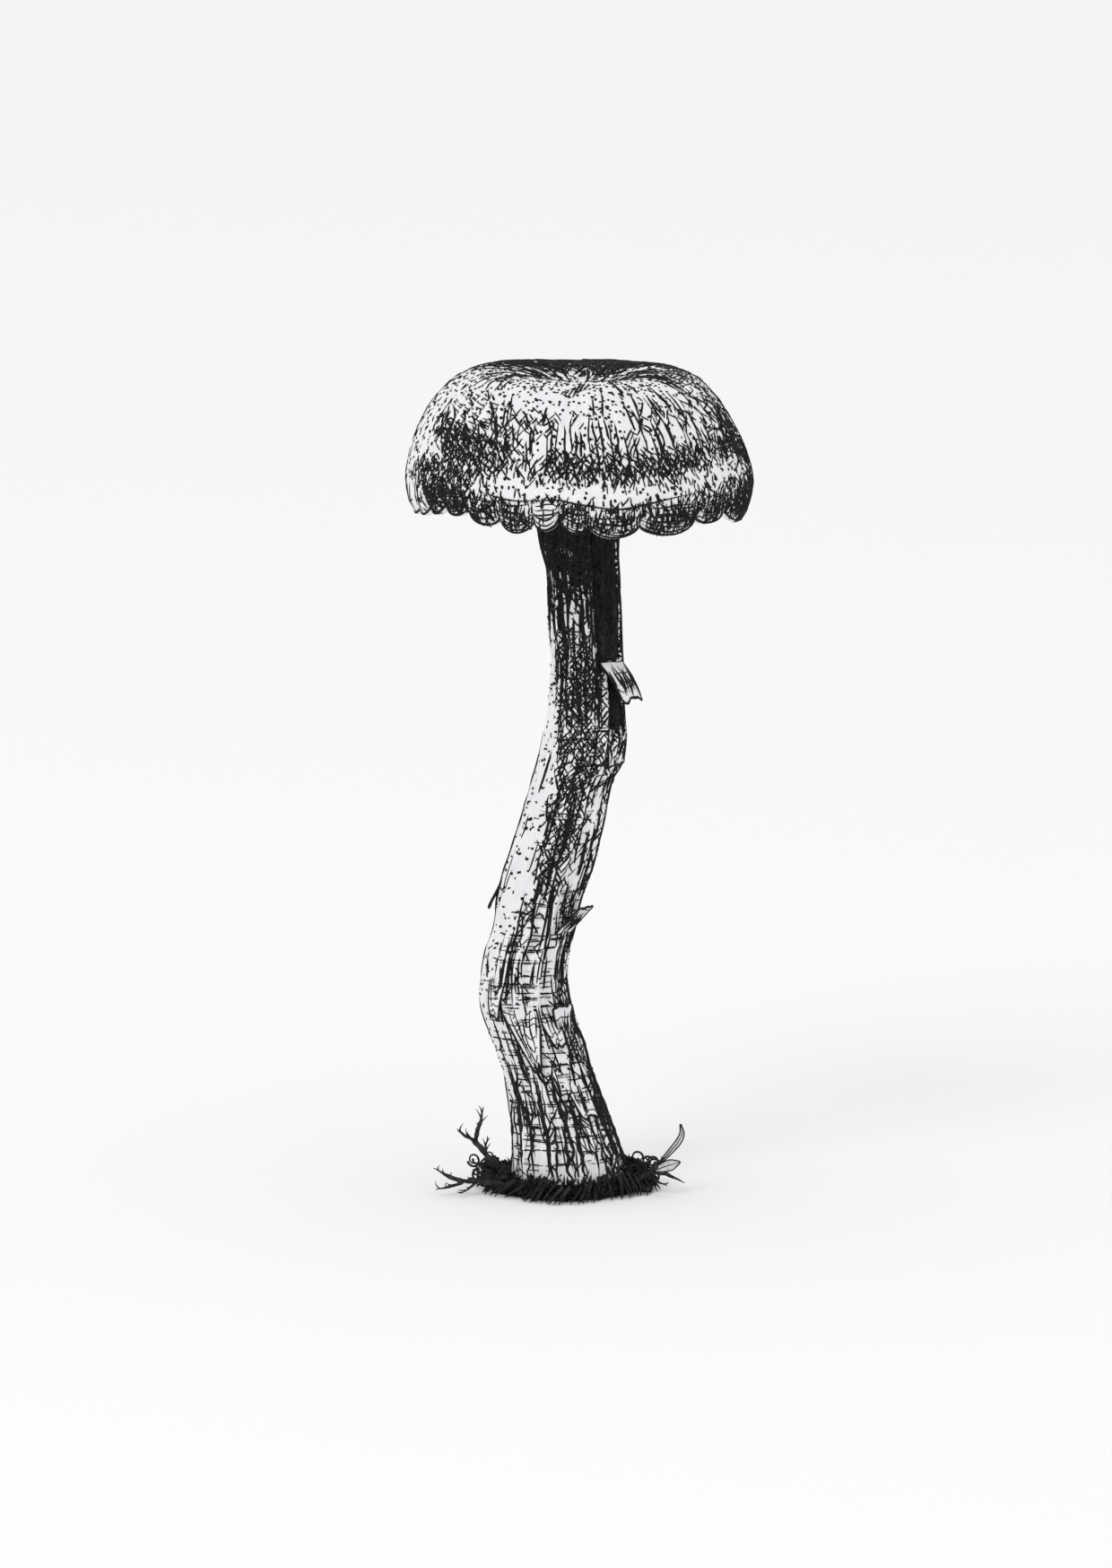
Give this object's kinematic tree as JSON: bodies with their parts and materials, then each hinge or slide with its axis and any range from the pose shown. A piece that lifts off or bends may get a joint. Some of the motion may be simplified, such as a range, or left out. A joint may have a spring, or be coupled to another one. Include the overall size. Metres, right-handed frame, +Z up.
{
  "type": "amethyst deceiver",
  "caption": "Slender toadstool with a sunken, scalloped, gilled cap on a bent fibrous stem with torn strips, standing in a small clod of moss with rootlets and a sprig.",
  "frame": {"origin": "on the ground, straight below the middle of the cap", "axes": "+Z up the stem, -Y towards the viewer of the drawing, +X to the drawing's right"},
  "size_m": [0.0385, 0.0383, 0.0925],
  "materials": {
    "pale_flesh": "pale grey, dry and fibrous, with black fibrils",
    "dark_fibril": "black, dry fibrils on the flesh",
    "dark_moss": "near black, matt",
    "dark_rootlet": "near black, matt",
    "dark_sprig": "near black stalk, pale leaf faces"
  },
  "bodies": {
    "root": {"mushroom": "pale_flesh", "moss_clod": "dark_moss", "twig_left_tall": "dark_rootlet", "twig_left_low": "dark_rootlet", "sprig_right": "dark_sprig"}
  },
  "joints": []
}
